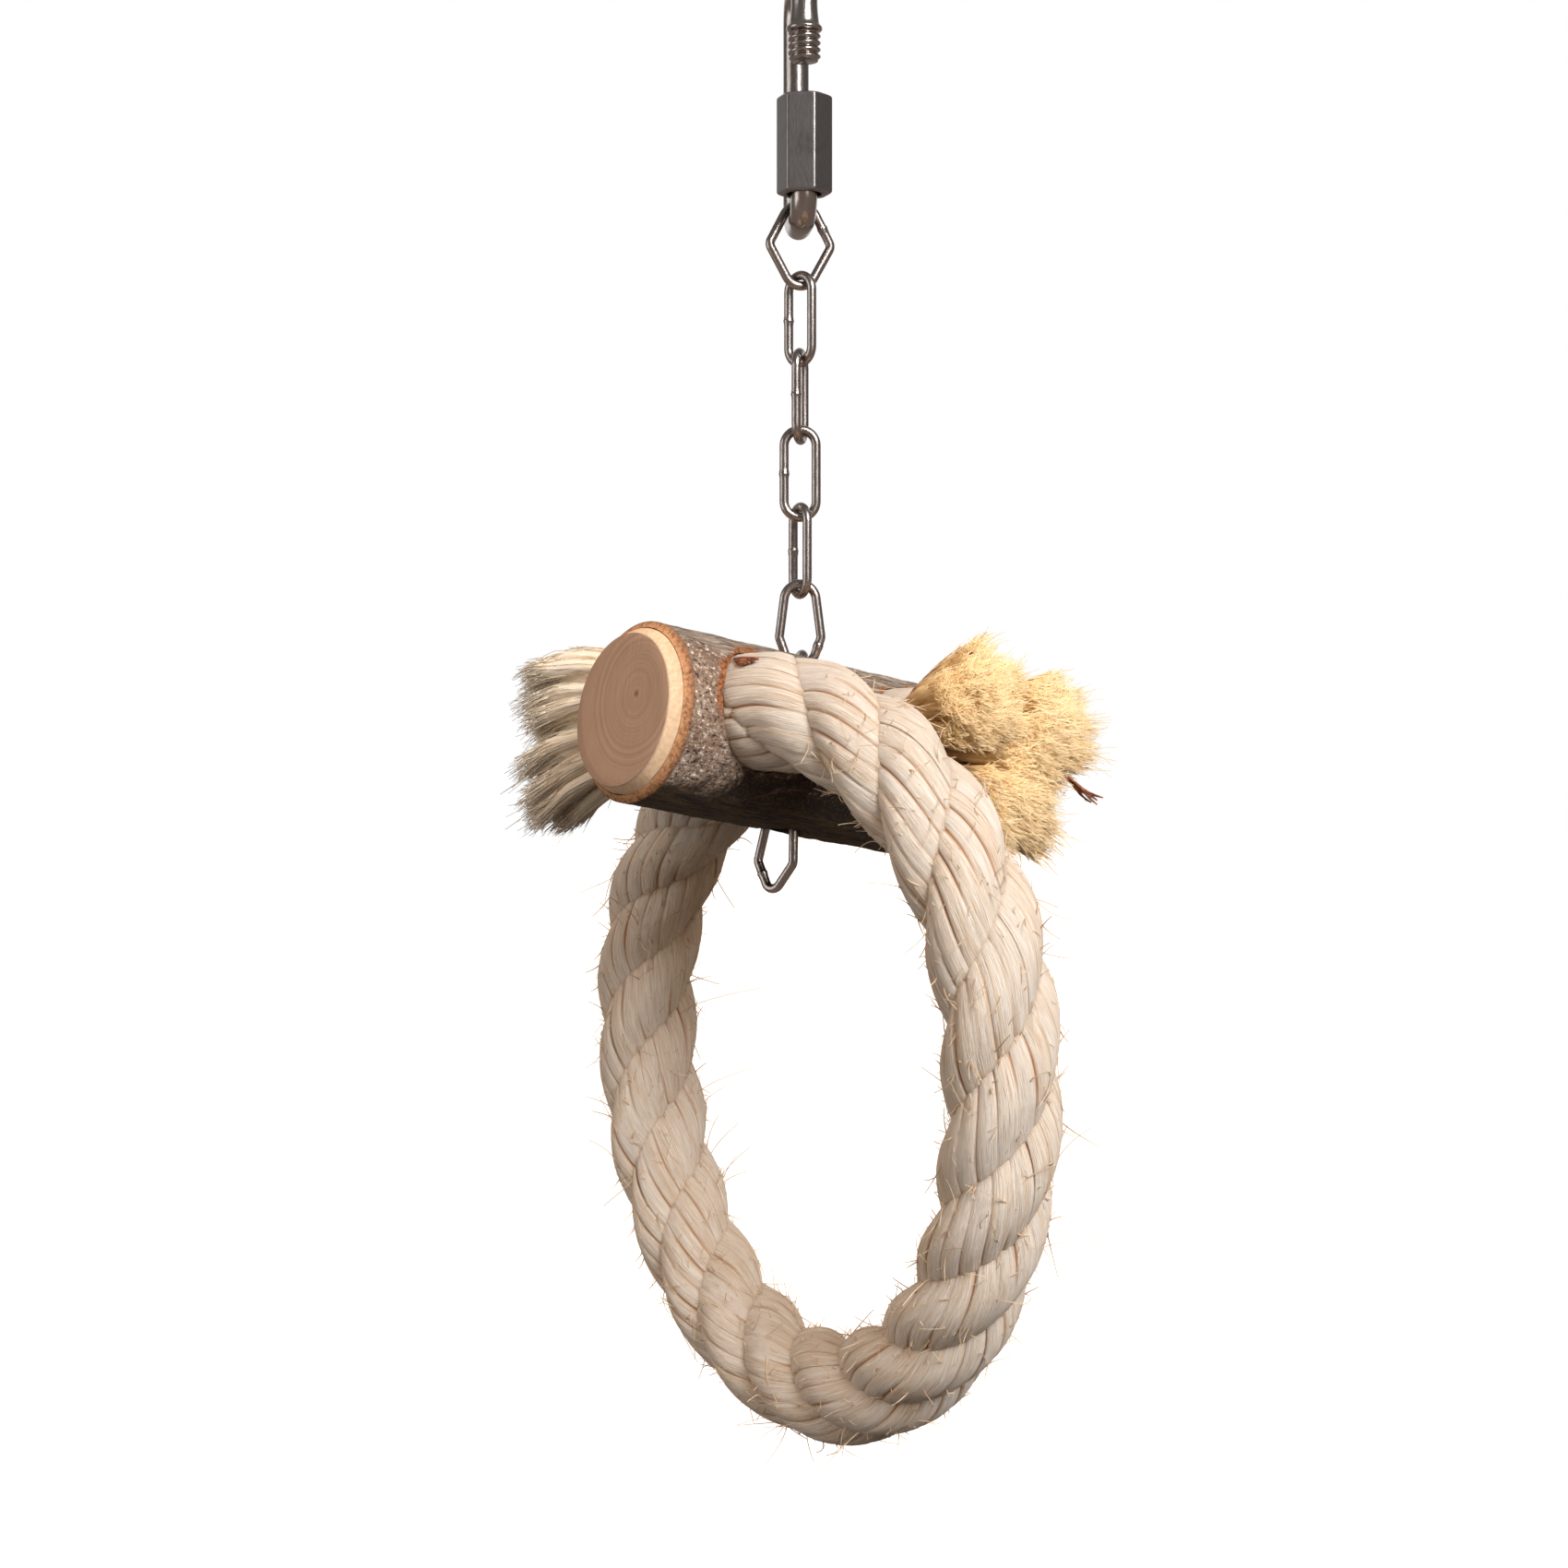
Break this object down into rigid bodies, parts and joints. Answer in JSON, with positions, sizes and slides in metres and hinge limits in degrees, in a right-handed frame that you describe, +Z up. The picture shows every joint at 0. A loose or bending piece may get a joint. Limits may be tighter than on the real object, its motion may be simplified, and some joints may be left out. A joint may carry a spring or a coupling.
{
  "type": "bird swing",
  "caption": "Bird swing: a sisal rope ring with frayed ends through a bark-covered branch, hung by a link chain from a screw quick link, for a bird to perch on.",
  "frame": {"origin": "where the quick link's top bow bears on the hook that holds the swing", "axes": "+Z up, +X along the branch, -Y the side on which the rope leaves the branch to start its ring"},
  "size_m": [0.1145, 0.2095, 0.3937],
  "materials": {
    "quick_link_steel": "polished stainless rod",
    "nut_steel": "satin",
    "chain_steel": "bright welded wire",
    "sawn_wood": "sawn end grain, unsealed",
    "bark": "rough natural bark",
    "sisal_rope": "natural laid sisal",
    "frayed_sisal": "loose combed sisal fibre"
  },
  "bodies": {
    "quick_link": {"quick_link_body": "quick_link_steel"},
    "nut": {"quick_link_nut": "nut_steel"},
    "link_1": {"chain_link_1": "chain_steel"},
    "link_2": {"chain_link_2": "chain_steel"},
    "link_3": {"chain_link_3": "chain_steel"},
    "link_4": {"chain_link_4": "chain_steel"},
    "link_5": {"chain_link_5": "chain_steel"},
    "link_6": {"chain_link_6": "chain_steel"},
    "swing": {"chain_link_7": "chain_steel", "chain_link_8": "chain_steel", "chain_link_9": "chain_steel", "branch_wood": "sawn_wood", "branch_bark": "bark", "rope_strand_1": "sisal_rope", "rope_strand_2": "sisal_rope", "rope_strand_3": "sisal_rope", "frayed_end_back_1": "frayed_sisal", "frayed_end_back_2": "frayed_sisal", "frayed_end_back_3": "frayed_sisal", "frayed_end_front_1": "frayed_sisal", "frayed_end_front_2": "frayed_sisal", "frayed_end_front_3": "frayed_sisal"}
  },
  "joints": [
    {"name": "nut_slide", "type": "slide", "parent": "quick_link", "child": "nut", "axis": [0, 0, 1], "range_m": [0, 0.017]},
    {"name": "link_1_hinge", "type": "hinge", "parent": "quick_link", "child": "link_1", "pos_m": [0, 0, -0.0605], "axis": [-0.4617, -0.887, 0], "range_deg": [-50, 50]},
    {"name": "link_2_hinge", "type": "hinge", "parent": "link_1", "child": "link_2", "pos_m": [0, 0, -0.07705], "axis": [0.9914, -0.1305, 0], "range_deg": [-50, 50]},
    {"name": "link_3_hinge", "type": "hinge", "parent": "link_2", "child": "link_3", "pos_m": [0, 0, -0.09775], "axis": [0.3827, -0.9239, 0], "range_deg": [-50, 50]},
    {"name": "link_4_hinge", "type": "hinge", "parent": "link_3", "child": "link_4", "pos_m": [0, 0, -0.11845], "axis": [-0.7133, -0.7009, 0], "range_deg": [-50, 50]},
    {"name": "link_5_hinge", "type": "hinge", "parent": "link_4", "child": "link_5", "pos_m": [0, 0, -0.13915], "axis": [-0.9026, 0.4305, 0], "range_deg": [-50, 50]},
    {"name": "link_6_hinge", "type": "hinge", "parent": "link_5", "child": "link_6", "pos_m": [0, 0, -0.15985], "axis": [-0.4305, -0.9026, 0], "range_deg": [-50, 50]},
    {"name": "branch_rock", "type": "hinge", "parent": "link_6", "child": "swing", "pos_m": [0, 0, -0.17585], "axis": [0.2588, 0.9659, 0], "range_deg": [-12, 12]}
  ]
}
